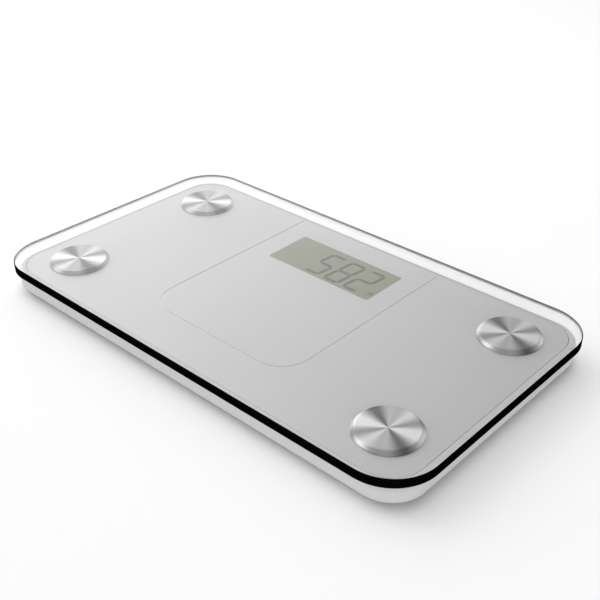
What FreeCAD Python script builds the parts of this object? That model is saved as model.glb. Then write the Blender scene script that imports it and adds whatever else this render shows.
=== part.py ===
"""Digital bathroom scale: a clear glass platform on four spun metal discs over a slim two-part base.

Units are millimetres. The origin is on the floor under the middle of the scale, +Z is up, +X runs
along the long side and +Y towards the edge beside the display.
"""
import FreeCAD, Part
import math
import os
from FreeCAD import Vector

# ---- glass platform ----
GLASS_LENGTH = 330.0
GLASS_WIDTH = 190.2
GLASS_THICK = 6.0
GLASS_CORNER = 28.8
GLASS_ARRIS = 0.5

# ---- spun discs between the base and the glass ----
DISC_RADIUS = 19.1
DISC_TOP_RADIUS = 17.6
DISC_THICK = 2.5
DISC_INSET_X = 37.1
DISC_INSET_Y = 38.1
BOND_THICK = 0.15
BOND_GAP = 0.05
BOND_EDGE = 1.2

# ---- base ----
FLOOR_GAP = 2.2
BASE_THICK = 10.1
BASE_INSET = 4.0
BASE_CORNER = 21.5
BASE_TOP_ROUND = 3.2
BASE_BOTTOM_ROUND = 2.6
TRAY_FLOOR = 1.6
DECK_INSET = 7.8
DECK_CORNER = 20.0
DECK_THICK = 2.0
DECK_EDGE_ROUND = 0.3
SKIRT_THICK = 1.6

# ---- clearances ----
FIT_GAP = 0.3
CLOSE_GAP = 0.1

# ---- groove moulded in the deck ----
GROOVE_WIDTH = 1.2
GROOVE_DEPTH = 0.35
GROOVE_SPAN = 116.0
GROOVE_NEAR = 59.0
GROOVE_CORNER = 21.0

# ---- display ----
LCD_X = 0.4
LCD_Y = 50.2
WINDOW_LENGTH = 83.2
WINDOW_WIDTH = 35.8
WINDOW_THICK = 1.2
WINDOW_CORNER = 1.0
WINDOW_SEAT = 2.0
LCD_GLASS = 1.1
LCD_LEDGE = 3.0
REFLECTOR_THICK = 0.3
REFLECTOR_INSET = 0.5
STRIP_INSET = 2.0
FRAME_WALL = 2.4
STRIP_WIDTH = 2.0

# ---- main board ----
BOARD_LENGTH = 104.0
BOARD_WIDTH = 54.0
BOARD_Y = 47.0
BOARD_THICK = 1.2
BOARD_CORNER = 2.0
BOARD_TOP = 7.4
BOARD_BOSS_INSET = 3.5
BOARD_BOSS_RADIUS = 2.6
BOARD_SCREW_RADIUS = 1.0
BOARD_SCREW_HEAD = 2.0
SOLDER_HEIGHT = 1.3
CHIP_RADIUS = 5.0
CHIP_OFFSET = (-12.0, -6.0)
CRYSTAL_LENGTH = 8.0
CRYSTAL_WIDTH = 3.6
CRYSTAL_OFFSET = (6.0, -12.0)
CAPACITOR_LENGTH = 2.0
CAPACITOR_WIDTH = 1.25
CAPACITOR_HEIGHT = 0.9
CAPACITOR_PITCH = 5.0
CAPACITOR_OFFSET = (14.0, 4.0)
CAPACITOR_COUNT = 3

# ---- load cells and feet ----
CARRIER_SIDE = 44.0
CARRIER_CORNER = 5.0
CARRIER_INSET_X = 5.7
CARRIER_INSET_Y = 6.7
CARRIER_TOP = 9.2
CELL_SIDE = 34.0
CELL_CORNER = 3.0
CELL_THICK = 1.4
CELL_BOTTOM = 7.2
CELL_LEDGE = 2.4
SLOT_WIDTH = 1.6
TONGUE_WIDTH = 16.0
GAUGE_THICK = 0.2
FOOT_RADIUS = 12.6
FOOT_FLANGE = 14.6
FOOT_FLANGE_THICK = 1.0
FOOT_STEM = 5.0
FOOT_TRAVEL_GAP = 0.7
PAD_RADIUS = 11.6
PAD_THICK = 1.2
PAD_RECESS = 0.5
COLLAR_WALL = 1.6
COLLAR_PROUD = 0.4

# ---- battery bay ----
BATTERY_X = 0.0
BATTERY_Y = -30.0
COIN_RADIUS = 10.0
COIN_THICK = 3.2
DOOR_RADIUS = 14.0
DOOR_THICK = 1.3
DOOR_LUG_REACH = 1.8
DOOR_LUG_THICK = 0.8
DOOR_LUG_ANGLE = 30.0
DOOR_OPEN_ANGLE = 60.0
COIN_SLOT_LENGTH = 16.0
COIN_SLOT_WIDTH = 2.0
COIN_SLOT_DEPTH = 0.7
CUP_WALL = 1.4
CUP_ROOF = 0.8
CUP_TOP = 9.8
CONTACT_THICK = 0.35

# ---- unit button ----
BUTTON_X = 38.0
BUTTON_Y = 27.0
BUTTON_RADIUS = 4.0
BUTTON_FLANGE = 5.4
BUTTON_PROUD = 0.5
BUTTON_FLANGE_THICK = 0.5
SWITCH_SIDE = 5.2
SWITCH_THICK = 1.3

# ---- screws ----
SHELL_SCREW_RADIUS = 1.3
SHELL_SCREW_HEAD = 2.7
SHELL_SCREW_HEAD_THICK = 0.9
SHELL_SCREW_DEPTH = 5.2
SHELL_BOSS_RADIUS = 3.3
BOSS_GAP = 1.0
SCREW_STANDOFF = 11.0
MIDDLE_SCREW_X = 68.3
DISC_SCREW_RADIUS = 2.0
DISC_SCREW_HEAD = 3.7
DISC_SCREW_REACH = 1.7
DRIVE_RADIUS = 0.9
DRIVE_DEPTH = 0.5

# ---- small pieces ----
WIRE_RADIUS = 0.9
WIRE_BEND = 9.0
RIB_THICK = 1.2
RIB_DEPTH = 1.7
RIB_CLEARANCE = 3.0
CUP_RIB_OFFSET = 13.0
WALL_HEIGHT = 1.6
POST_SIDE = 4.0
LABEL_LENGTH = 56.0
LABEL_WIDTH = 30.0
LABEL_THICK = 0.12
LABEL_X = 62.0

# ---- levels and places that follow ----
BASE_TOP = FLOOR_GAP + BASE_THICK
DECK_BOTTOM = BASE_TOP - DECK_THICK
FLOOR_TOP = FLOOR_GAP + TRAY_FLOOR
DISC_TOP = BASE_TOP + DISC_THICK
GLASS_BOTTOM = DISC_TOP + BOND_THICK + BOND_GAP
SKIRT_X = GLASS_LENGTH / 2 - DECK_INSET - SKIRT_THICK
SKIRT_Y = GLASS_WIDTH / 2 - DECK_INSET - SKIRT_THICK
CORNER_SIGNS = {"front_left": (-1, -1), "front_right": (1, -1), "back_left": (-1, 1), "back_right": (1, 1)}
DISC_X = GLASS_LENGTH / 2 - DISC_INSET_X
DISC_Y = GLASS_WIDTH / 2 - DISC_INSET_Y
DISC_PLACES = {name: (side * DISC_X, end * DISC_Y) for name, (side, end) in CORNER_SIGNS.items()}
CELL_X = SKIRT_X - CARRIER_INSET_X - CARRIER_SIDE / 2
CELL_Y = SKIRT_Y - CARRIER_INSET_Y - CARRIER_SIDE / 2
CELL_PLACES = {name: (side * CELL_X, end * CELL_Y) for name, (side, end) in CORNER_SIGNS.items()}
SIDE_SCREW_X = SKIRT_X - SHELL_BOSS_RADIUS - BOSS_GAP
EDGE_SCREW_Y = SKIRT_Y - SHELL_BOSS_RADIUS - BOSS_GAP
INNER_SCREW_X = CELL_X - CARRIER_SIDE / 2 - SCREW_STANDOFF
SHELL_SCREWS = [(side * SIDE_SCREW_X, 0.0) for side in (-1, 1)]
SHELL_SCREWS += [(side * INNER_SCREW_X, end * EDGE_SCREW_Y) for side in (-1, 1) for end in (-1, 1)]
SHELL_SCREWS += [(0.0, end * EDGE_SCREW_Y) for end in (-1, 1)]
SHELL_SCREWS += [(side * MIDDLE_SCREW_X, 0.0) for side in (-1, 1)]
BOARD_SCREW_X = BOARD_LENGTH / 2 - BOARD_BOSS_INSET
BOARD_SCREW_Y = BOARD_WIDTH / 2 - BOARD_BOSS_INSET
BOARD_SCREWS = [
    (LCD_X + side * BOARD_SCREW_X, BOARD_Y + end * BOARD_SCREW_Y) for side in (-1, 1) for end in (-1, 1)
]
BOARD_BOTTOM = BOARD_TOP - BOARD_THICK
WIRE_LEVEL = BOARD_TOP - BOARD_THICK / 2
COIN_BOTTOM = FLOOR_TOP + CLOSE_GAP + DOOR_LUG_THICK + FIT_GAP
CUP_INNER = DOOR_RADIUS + DOOR_LUG_REACH + FIT_GAP
CUP_CEILING = CUP_TOP - CUP_ROOF
LCD_TOP = BASE_TOP - WINDOW_THICK - CLOSE_GAP
LCD_LENGTH = WINDOW_LENGTH - 2 * WINDOW_SEAT - 2 * FIT_GAP
LCD_WIDTH = WINDOW_WIDTH - 2 * WINDOW_SEAT - 2 * FIT_GAP
LCD_MIDDLE = LCD_TOP - LCD_GLASS
LCD_BACK = LCD_MIDDLE - LCD_GLASS
REFLECTOR_BOTTOM = LCD_BACK - REFLECTOR_THICK


def cylinder(x, y, bottom, radius, height):
    """A round bar standing at x, y."""
    return Part.makeCylinder(radius, height, Vector(x, y, bottom))


def cone(x, y, bottom, low_radius, high_radius, height):
    """A round bar whose radius changes evenly with height."""
    return Part.makeCone(low_radius, high_radius, height, Vector(x, y, bottom))


def block(x, y, bottom, length, width, height):
    """A box centred on x, y."""
    return Part.makeBox(length, width, height, Vector(x - length / 2, y - width / 2, bottom))


def rounded_block(x, y, bottom, length, width, height, radius):
    """A box centred on x, y with rounded upright corners."""
    box = block(x, y, bottom, length, width, height)
    upright = [edge for edge in box.Edges if is_upright(edge)]
    return box.makeFillet(radius, upright)


def is_upright(edge):
    """Whether an edge runs straight up."""
    box = edge.BoundBox
    return box.XLength < 1e-6 and box.YLength < 1e-6


def edges_at(shape, level):
    """The edges that lie in the level plane at this height."""
    return [edge for edge in shape.Edges if lies_at(edge.BoundBox, level)]


def lies_at(box, level):
    """Whether a box has no height and lies at this level."""
    return abs(box.ZMin - level) + abs(box.ZMax - level) < 1e-4


def save(name, shapes):
    """Write one node, from one shape or from a group of separate solids."""
    shape = Part.makeCompound(shapes) if isinstance(shapes, list) else shapes
    shape.exportStep("parts/" + name + ".step")


def glass_platform():
    """The toughened glass plate, with a small arris along both edges."""
    plate = rounded_block(0, 0, GLASS_BOTTOM, GLASS_LENGTH, GLASS_WIDTH, GLASS_THICK, GLASS_CORNER)
    rims = edges_at(plate, GLASS_BOTTOM) + edges_at(plate, GLASS_BOTTOM + GLASS_THICK)
    return plate.makeChamfer(GLASS_ARRIS, rims)


def standoff_disc(x, y):
    """A spun disc with a bevelled rim and a blind hole for its screw."""
    rim = DISC_THICK * 0.4
    body = cylinder(x, y, BASE_TOP, DISC_RADIUS, rim)
    body = body.fuse(cone(x, y, BASE_TOP + rim, DISC_RADIUS, DISC_TOP_RADIUS, DISC_THICK - rim))
    hole = cylinder(x, y, BASE_TOP, DISC_SCREW_RADIUS + CLOSE_GAP, DISC_SCREW_REACH + CLOSE_GAP)
    return body.cut(hole).removeSplitter()


def disc_bond(x, y):
    """The clear adhesive layer between a disc and the glass."""
    return cylinder(x, y, DISC_TOP, DISC_TOP_RADIUS - BOND_EDGE, BOND_THICK)


def disc_screw(x, y):
    """A countersunk screw, its head flush with the underside of the deck."""
    height = DISC_SCREW_HEAD - DISC_SCREW_RADIUS
    head = cone(x, y, DECK_BOTTOM, DISC_SCREW_HEAD, DISC_SCREW_RADIUS, height)
    shank = cylinder(x, y, DECK_BOTTOM + height, DISC_SCREW_RADIUS, DECK_THICK - height + DISC_SCREW_REACH)
    drive = cylinder(x, y, DECK_BOTTOM, DRIVE_RADIUS, DRIVE_DEPTH)
    return head.fuse(shank).cut(drive).removeSplitter()


def disc_screw_hole(x, y):
    """The countersunk hole in the deck for a disc's screw."""
    height = DISC_SCREW_HEAD - DISC_SCREW_RADIUS
    sink = cone(x, y, DECK_BOTTOM, DISC_SCREW_HEAD + CLOSE_GAP, DISC_SCREW_RADIUS + CLOSE_GAP, height)
    return sink.fuse(cylinder(x, y, DECK_BOTTOM, DISC_SCREW_RADIUS + CLOSE_GAP, DECK_THICK))


def groove():
    """The shallow U-shaped groove, open towards the back edge."""
    reach = GLASS_WIDTH / 2 - DECK_INSET + GROOVE_NEAR
    middle = reach / 2 - GROOVE_NEAR
    bottom = BASE_TOP - GROOVE_DEPTH
    over = 2 * GROOVE_CORNER
    centre_y = middle + over / 2
    length = reach + over
    span = GROOVE_SPAN - 2 * GROOVE_WIDTH
    inner_length = length - 2 * GROOVE_WIDTH
    inner_corner = GROOVE_CORNER - GROOVE_WIDTH
    outer = rounded_block(0, centre_y, bottom, GROOVE_SPAN, length, GROOVE_DEPTH, GROOVE_CORNER)
    inner = rounded_block(0, centre_y, bottom, span, inner_length, GROOVE_DEPTH, inner_corner)
    return outer.cut(inner)


def deck_ribs():
    """The stiffening ribs under the deck, clear of the cells, the display and the battery cup."""
    bottom = DECK_BOTTOM - RIB_DEPTH
    front = -SKIRT_Y
    back = BOARD_Y - BOARD_WIDTH / 2 - RIB_CLEARANCE
    reach = CELL_X - CARRIER_SIDE / 2 - RIB_CLEARANCE
    cup_radius = CUP_INNER + CUP_WALL
    cup_back = BATTERY_Y + cup_radius + RIB_CLEARANCE
    cup_front = BATTERY_Y - cup_radius - RIB_CLEARANCE
    ribs = []
    for side in (-1, 1):
        for x in (cup_radius + CUP_RIB_OFFSET, 0.76 * reach):
            ribs.append(block(side * x, (front + back) / 2, bottom, RIB_THICK, back - front, RIB_DEPTH))
    for y in (cup_back, back - RIB_CLEARANCE):
        ribs.append(block(0, y, bottom, 2 * (SIDE_SCREW_X - SHELL_BOSS_RADIUS), RIB_THICK, RIB_DEPTH))
    ribs.append(block(0, (front + cup_front) / 2, bottom, 2 * reach, RIB_THICK, RIB_DEPTH))
    return ribs


def upper_deck():
    """The silver deck: plate, skirt, bosses, ribs, display opening and groove."""
    length = GLASS_LENGTH - 2 * DECK_INSET
    width = GLASS_WIDTH - 2 * DECK_INSET
    plate = rounded_block(0, 0, FLOOR_TOP, length, width, BASE_TOP - FLOOR_TOP, DECK_CORNER)
    plate = plate.makeFillet(DECK_EDGE_ROUND, edges_at(plate, BASE_TOP))
    hollow = rounded_block(
        0, 0, FLOOR_TOP, 2 * SKIRT_X, 2 * SKIRT_Y, DECK_BOTTOM - FLOOR_TOP, DECK_CORNER - SKIRT_THICK
    )
    deck = plate.cut(hollow)
    added = deck_ribs()
    for x, y in SHELL_SCREWS:
        added.append(cylinder(x, y, FLOOR_TOP, SHELL_BOSS_RADIUS, DECK_BOTTOM - FLOOR_TOP))
    for x, y in BOARD_SCREWS:
        added.append(cylinder(x, y, BOARD_TOP, BOARD_BOSS_RADIUS, DECK_BOTTOM - BOARD_TOP))
    for x, y in CELL_PLACES.values():
        for side in (-1, 1):
            for end in (-1, 1):
                offset = CARRIER_SIDE / 2 - POST_SIDE
                post_x = x + side * offset
                post_y = y + end * offset
                post_height = DECK_BOTTOM - CARRIER_TOP
                added.append(block(post_x, post_y, CARRIER_TOP, POST_SIDE, POST_SIDE, post_height))
    deck = deck.fuse(added)
    window = rounded_block(
        LCD_X,
        LCD_Y,
        BASE_TOP - WINDOW_THICK,
        WINDOW_LENGTH + 2 * CLOSE_GAP,
        WINDOW_WIDTH + 2 * CLOSE_GAP,
        WINDOW_THICK,
        WINDOW_CORNER + CLOSE_GAP,
    )
    view = block(
        LCD_X, LCD_Y, DECK_BOTTOM, WINDOW_LENGTH - 2 * WINDOW_SEAT, WINDOW_WIDTH - 2 * WINDOW_SEAT, DECK_THICK
    )
    cuts = [window, view, groove()]
    for x, y in SHELL_SCREWS:
        cuts.append(cylinder(x, y, FLOOR_TOP, SHELL_SCREW_RADIUS + CLOSE_GAP, SHELL_SCREW_DEPTH + CLOSE_GAP))
    board_hole = DECK_BOTTOM - BOARD_TOP - CLOSE_GAP
    for x, y in BOARD_SCREWS:
        cuts.append(cylinder(x, y, BOARD_TOP, BOARD_SCREW_RADIUS + CLOSE_GAP, board_hole))
    for x, y in DISC_PLACES.values():
        cuts.append(disc_screw_hole(x, y))
    return deck.cut(cuts).removeSplitter()


def lower_tray():
    """The light base tray: rounded sides, foot openings, battery opening and locating walls."""
    length = GLASS_LENGTH - 2 * BASE_INSET
    width = GLASS_WIDTH - 2 * BASE_INSET
    body = rounded_block(0, 0, FLOOR_GAP, length, width, BASE_THICK, BASE_CORNER)
    body = body.makeFillet(BASE_TOP_ROUND, edges_at(body, BASE_TOP))
    body = body.makeFillet(BASE_BOTTOM_ROUND, edges_at(body, FLOOR_GAP))
    hollow = rounded_block(
        0,
        0,
        FLOOR_TOP,
        GLASS_LENGTH - 2 * DECK_INSET + 2 * FIT_GAP,
        GLASS_WIDTH - 2 * DECK_INSET + 2 * FIT_GAP,
        BASE_TOP - FLOOR_TOP,
        DECK_CORNER + FIT_GAP,
    )
    added = []
    cuts = []
    opening = FOOT_RADIUS + FIT_GAP
    wall_side = CARRIER_SIDE + 2 * FIT_GAP
    for x, y in CELL_PLACES.values():
        added.append(cylinder(x, y, FLOOR_GAP - COLLAR_PROUD, opening + COLLAR_WALL, COLLAR_PROUD))
        outer_side = wall_side + 2 * RIB_THICK
        wall = rounded_block(x, y, FLOOR_TOP, outer_side, outer_side, WALL_HEIGHT, CARRIER_CORNER + RIB_THICK)
        nest = rounded_block(x, y, FLOOR_TOP, wall_side, wall_side, WALL_HEIGHT, CARRIER_CORNER)
        added.append(wall.cut(nest))
        cuts.append(cylinder(x, y, FLOOR_GAP - COLLAR_PROUD, opening, TRAY_FLOOR + COLLAR_PROUD))
    for x, y in SHELL_SCREWS:
        cuts.append(cylinder(x, y, FLOOR_GAP, SHELL_SCREW_RADIUS + FIT_GAP, TRAY_FLOOR))
        cuts.append(cylinder(x, y, FLOOR_GAP, SHELL_SCREW_HEAD + FIT_GAP, SHELL_SCREW_HEAD_THICK + CLOSE_GAP))
    cuts.append(cylinder(BUTTON_X, BUTTON_Y, FLOOR_GAP, BUTTON_RADIUS + FIT_GAP, TRAY_FLOOR))
    cuts.append(cylinder(BATTERY_X, BATTERY_Y, FLOOR_GAP, DOOR_RADIUS + FIT_GAP, TRAY_FLOOR))
    cuts.extend(door_lugs(FLOOR_GAP, TRAY_FLOOR, FIT_GAP, DOOR_OPEN_ANGLE, 6.0))
    cuts.append(block(LABEL_X, BATTERY_Y, FLOOR_GAP, LABEL_LENGTH + 0.6, LABEL_WIDTH + 0.6, 2 * LABEL_THICK))
    return body.cut(hollow).fuse(added).cut(cuts).removeSplitter()


def door_lugs(bottom, height, gap, turn, widen):
    """The two bayonet lugs of the battery door, or the notches that let them in."""
    lugs = []
    for start in (0.0, 180.0):
        angle = DOOR_LUG_ANGLE + 2 * widen
        centre = Vector(BATTERY_X, BATTERY_Y, bottom)
        outer = Part.makeCylinder(DOOR_RADIUS + DOOR_LUG_REACH + gap, height, centre, Vector(0, 0, 1), angle)
        outer.rotate(centre, Vector(0, 0, 1), start + turn - angle / 2)
        lugs.append(outer.cut(cylinder(BATTERY_X, BATTERY_Y, bottom, DOOR_RADIUS - 2.4, height)))
    return lugs


def battery_door():
    """The round battery door with its coin slot, collar and bayonet lugs."""
    lug_bottom = FLOOR_TOP + CLOSE_GAP
    plate = cylinder(BATTERY_X, BATTERY_Y, FLOOR_GAP, DOOR_RADIUS, DOOR_THICK)
    collar_height = lug_bottom + DOOR_LUG_THICK - FLOOR_GAP - DOOR_THICK
    collar = cylinder(BATTERY_X, BATTERY_Y, FLOOR_GAP + DOOR_THICK, DOOR_RADIUS - 1.0, collar_height)
    well = cylinder(BATTERY_X, BATTERY_Y, FLOOR_GAP + DOOR_THICK, DOOR_RADIUS - 2.8, collar_height)
    door = plate.fuse(collar.cut(well))
    door = door.fuse(door_lugs(lug_bottom, DOOR_LUG_THICK, 0.0, 0.0, 0.0))
    slot = block(BATTERY_X, BATTERY_Y, FLOOR_GAP, COIN_SLOT_LENGTH, COIN_SLOT_WIDTH, COIN_SLOT_DEPTH)
    return door.cut(slot).removeSplitter()


def battery_cup():
    """The cup that holds the coin cell, standing on the tray floor."""
    height = CUP_TOP - FLOOR_TOP
    cup = cylinder(BATTERY_X, BATTERY_Y, FLOOR_TOP, CUP_INNER + CUP_WALL, height)
    cup = cup.cut(cylinder(BATTERY_X, BATTERY_Y, FLOOR_TOP, CUP_INNER, height - CUP_ROOF))
    ring_height = CUP_CEILING - COIN_BOTTOM - CLOSE_GAP
    inner = COIN_RADIUS + FIT_GAP + CONTACT_THICK
    ring = cylinder(BATTERY_X, BATTERY_Y, CUP_CEILING - ring_height, inner + CUP_WALL, ring_height)
    ring = ring.cut(cylinder(BATTERY_X, BATTERY_Y, CUP_CEILING - ring_height, inner, ring_height))
    return cup.fuse(ring).removeSplitter()


def coin_cell():
    """A standard coin cell: a wide can with a narrower cap on its upper side."""
    can = cylinder(BATTERY_X, BATTERY_Y, COIN_BOTTOM, COIN_RADIUS, COIN_THICK - 0.6)
    cap = cylinder(BATTERY_X, BATTERY_Y, COIN_BOTTOM + COIN_THICK - 0.6, COIN_RADIUS - 1.2, 0.6)
    can = can.makeFillet(0.4, edges_at(can, COIN_BOTTOM))
    return can.fuse(cap).removeSplitter()


def negative_contact():
    """The leaf that bears on the top of the coin cell."""
    bottom = COIN_BOTTOM + COIN_THICK + CLOSE_GAP
    return rounded_block(BATTERY_X, BATTERY_Y, bottom, 14.0, 5.0, CUP_CEILING - bottom - CLOSE_GAP, 1.0)


def positive_contact():
    """The curved strip that bears on the side of the coin cell."""
    height = COIN_THICK - 0.9
    centre = Vector(BATTERY_X, BATTERY_Y, COIN_BOTTOM + 0.4)
    radius = COIN_RADIUS + FIT_GAP / 2
    strip = Part.makeCylinder(radius + CONTACT_THICK, height, centre, Vector(0, 0, 1), 70.0)
    strip.rotate(centre, Vector(0, 0, 1), 55.0)
    return strip.cut(Part.makeCylinder(radius, height, centre))


def shell_screw(x, y):
    """A pan-head screw from the tray into a deck boss."""
    head_bottom = FLOOR_GAP + CLOSE_GAP
    head = cylinder(x, y, head_bottom, SHELL_SCREW_HEAD, SHELL_SCREW_HEAD_THICK)
    head = head.makeFillet(0.3, edges_at(head, head_bottom))
    shank = cylinder(
        x,
        y,
        head_bottom + SHELL_SCREW_HEAD_THICK,
        SHELL_SCREW_RADIUS,
        FLOOR_TOP + SHELL_SCREW_DEPTH - head_bottom - SHELL_SCREW_HEAD_THICK,
    )
    slot_a = block(x, y, head_bottom, 2.6, 0.6, DRIVE_DEPTH)
    slot_b = block(x, y, head_bottom, 0.6, 2.6, DRIVE_DEPTH)
    return head.fuse(shank).cut([slot_a, slot_b]).removeSplitter()


def board_screw(x, y):
    """A small pan-head screw from the board into a deck boss."""
    head = cylinder(x, y, BOARD_BOTTOM - 1.0, BOARD_SCREW_HEAD, 1.0)
    shank = cylinder(x, y, BOARD_BOTTOM, BOARD_SCREW_RADIUS, DECK_BOTTOM - BOARD_BOTTOM - 4 * CLOSE_GAP)
    drive = cylinder(x, y, BOARD_BOTTOM - 1.0, DRIVE_RADIUS, DRIVE_DEPTH)
    return head.fuse(shank).cut(drive).removeSplitter()


def display_window():
    """The clear lens, flush with the top of the deck."""
    bottom = BASE_TOP - WINDOW_THICK
    return rounded_block(LCD_X, LCD_Y, bottom, WINDOW_LENGTH, WINDOW_WIDTH, WINDOW_THICK, WINDOW_CORNER)


def display_front_glass():
    """The front plate of the liquid crystal cell."""
    return block(LCD_X, LCD_Y, LCD_MIDDLE, LCD_LENGTH, LCD_WIDTH, LCD_GLASS)


def display_rear_glass():
    """The rear plate, shorter so that the contact ledge stays free."""
    return block(LCD_X, LCD_Y + LCD_LEDGE / 2, LCD_BACK, LCD_LENGTH, LCD_WIDTH - LCD_LEDGE, LCD_GLASS)


def display_reflector():
    """The reflective film behind the liquid crystal cell."""
    length = LCD_LENGTH - 2 * REFLECTOR_INSET
    width = LCD_WIDTH - LCD_LEDGE - 2 * REFLECTOR_INSET
    return block(LCD_X, LCD_Y + LCD_LEDGE / 2, REFLECTOR_BOTTOM, length, width, REFLECTOR_THICK)


def strip_centre():
    """The Y of the elastomer strip's middle, under the contact ledge."""
    return LCD_Y - LCD_WIDTH / 2 + LCD_LEDGE / 2 - CLOSE_GAP


def display_frame():
    """The frame that carries the liquid crystal cell on the board."""
    length = LCD_LENGTH + 2 * FIT_GAP
    width = LCD_WIDTH + 2 * FIT_GAP
    frame = rounded_block(
        LCD_X, LCD_Y, BOARD_TOP, length + 2 * FRAME_WALL, width + 2 * FRAME_WALL, DECK_BOTTOM - BOARD_TOP, 1.5
    )
    pocket = block(LCD_X, LCD_Y, REFLECTOR_BOTTOM, length, width, DECK_BOTTOM - REFLECTOR_BOTTOM)
    slot = block(
        LCD_X,
        strip_centre(),
        BOARD_TOP,
        LCD_LENGTH - 2 * STRIP_INSET + 2 * FIT_GAP,
        STRIP_WIDTH + 2 * CLOSE_GAP,
        DECK_BOTTOM - BOARD_TOP,
    )
    return frame.cut([pocket, slot])


def elastomer_strip():
    """The conductive elastomer strip from the board to the contact ledge."""
    length = LCD_LENGTH - 2 * STRIP_INSET
    return block(LCD_X, strip_centre(), BOARD_TOP, length, STRIP_WIDTH, LCD_MIDDLE - BOARD_TOP)


def main_board():
    """The circuit board, with clearance holes for its screws."""
    board = rounded_block(LCD_X, BOARD_Y, BOARD_BOTTOM, BOARD_LENGTH, BOARD_WIDTH, BOARD_THICK, BOARD_CORNER)
    radius = BOARD_SCREW_RADIUS + CLOSE_GAP
    holes = [cylinder(x, y, BOARD_BOTTOM, radius, BOARD_THICK) for x, y in BOARD_SCREWS]
    return board.cut(holes)


def chip_blob():
    """The sealed controller chip under the board, a low dome."""
    height = SOLDER_HEIGHT
    sphere_radius = (CHIP_RADIUS * CHIP_RADIUS + height * height) / (2 * height)
    x = LCD_X + CHIP_OFFSET[0]
    y = BOARD_Y + CHIP_OFFSET[1]
    dome = Part.makeSphere(sphere_radius, Vector(x, y, BOARD_BOTTOM - height + sphere_radius))
    side = 2.4 * CHIP_RADIUS
    return dome.common(block(x, y, BOARD_BOTTOM - height, side, side, height))


def crystal_can():
    """The timing crystal in its low can."""
    x = LCD_X + CRYSTAL_OFFSET[0]
    y = BOARD_Y + CRYSTAL_OFFSET[1]
    bottom = BOARD_BOTTOM - SOLDER_HEIGHT
    corner = CRYSTAL_WIDTH / 2 - 0.2
    return rounded_block(x, y, bottom, CRYSTAL_LENGTH, CRYSTAL_WIDTH, SOLDER_HEIGHT, corner)


def chip_capacitors():
    """Three small ceramic capacitors beside the chip."""
    x = LCD_X + CAPACITOR_OFFSET[0]
    y = BOARD_Y + CAPACITOR_OFFSET[1]
    bottom = BOARD_BOTTOM - CAPACITOR_HEIGHT
    places = [x + CAPACITOR_PITCH * n for n in range(CAPACITOR_COUNT)]
    return [block(at, y, bottom, CAPACITOR_LENGTH, CAPACITOR_WIDTH, CAPACITOR_HEIGHT) for at in places]


def unit_switch():
    """The switch over the unit button, soldered under the board."""
    body = block(BUTTON_X, BUTTON_Y, BOARD_BOTTOM - SWITCH_THICK + 0.3, SWITCH_SIDE, SWITCH_SIDE, SWITCH_THICK - 0.3)
    plunger = cylinder(BUTTON_X, BUTTON_Y, BOARD_BOTTOM - SWITCH_THICK, 1.2, 0.3)
    return body.fuse(plunger).removeSplitter()


def unit_button():
    """The button under the scale that changes the unit."""
    cap_bottom = FLOOR_GAP - BUTTON_PROUD
    cap = cylinder(BUTTON_X, BUTTON_Y, cap_bottom, BUTTON_RADIUS, FLOOR_TOP + CLOSE_GAP - cap_bottom)
    cap = cap.makeFillet(0.4, edges_at(cap, cap_bottom))
    flange = cylinder(BUTTON_X, BUTTON_Y, FLOOR_TOP + CLOSE_GAP, BUTTON_FLANGE, BUTTON_FLANGE_THICK)
    return cap.fuse(flange).removeSplitter()


def outward(x):
    """The sign of X that points from the middle of the scale to this place."""
    return 1 if x > 0 else -1


def cell_carrier(x, y):
    """The plastic carrier that holds a load cell above its foot."""
    height = CARRIER_TOP - FLOOR_TOP
    body = rounded_block(x, y, FLOOR_TOP, CARRIER_SIDE, CARRIER_SIDE, height, CARRIER_CORNER)
    pocket_side = CELL_SIDE + 2 * CLOSE_GAP
    pocket = rounded_block(x, y, CELL_BOTTOM, pocket_side, pocket_side, CARRIER_TOP - CELL_BOTTOM, CELL_CORNER)
    well_side = CELL_SIDE - 2 * CELL_LEDGE
    well = rounded_block(x, y, FLOOR_TOP, well_side, well_side, CELL_BOTTOM - FLOOR_TOP, CELL_CORNER)
    flange_room = cylinder(x, y, FLOOR_TOP, FOOT_FLANGE + FIT_GAP, FOOT_FLANGE_THICK + FIT_GAP + FOOT_TRAVEL_GAP + FIT_GAP)
    way_x = x - outward(x) * CARRIER_SIDE / 2
    way_bottom = WIRE_LEVEL - WIRE_RADIUS - FIT_GAP
    way_width = 2 * (WIRE_RADIUS + FIT_GAP)
    wire_way = block(x=way_x, y=y, bottom=way_bottom, length=CARRIER_SIDE - CELL_SIDE, width=way_width, height=height)
    return body.cut([pocket, well, flange_room, wire_way]).removeSplitter()


def load_cell(x, y):
    """The stamped steel load cell: a frame with a tongue freed by a U-shaped slot."""
    plate = rounded_block(x, y, CELL_BOTTOM, CELL_SIDE, CELL_SIDE, CELL_THICK, CELL_CORNER)
    reach = TONGUE_WIDTH + 4.0
    outer = rounded_block(x, y, CELL_BOTTOM, TONGUE_WIDTH + 2 * SLOT_WIDTH, reach + SLOT_WIDTH, CELL_THICK, 1.5)
    inner = block(x, y + SLOT_WIDTH, CELL_BOTTOM, TONGUE_WIDTH, reach + SLOT_WIDTH, CELL_THICK)
    return plate.cut(outer.cut(inner)).removeSplitter()


def strain_gauge(x, y):
    """The strain gauge bonded across the root of the tongue."""
    return block(x, y + TONGUE_WIDTH / 2 + 2.5, CELL_BOTTOM + CELL_THICK, 7.0, 4.0, GAUGE_THICK)


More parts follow.
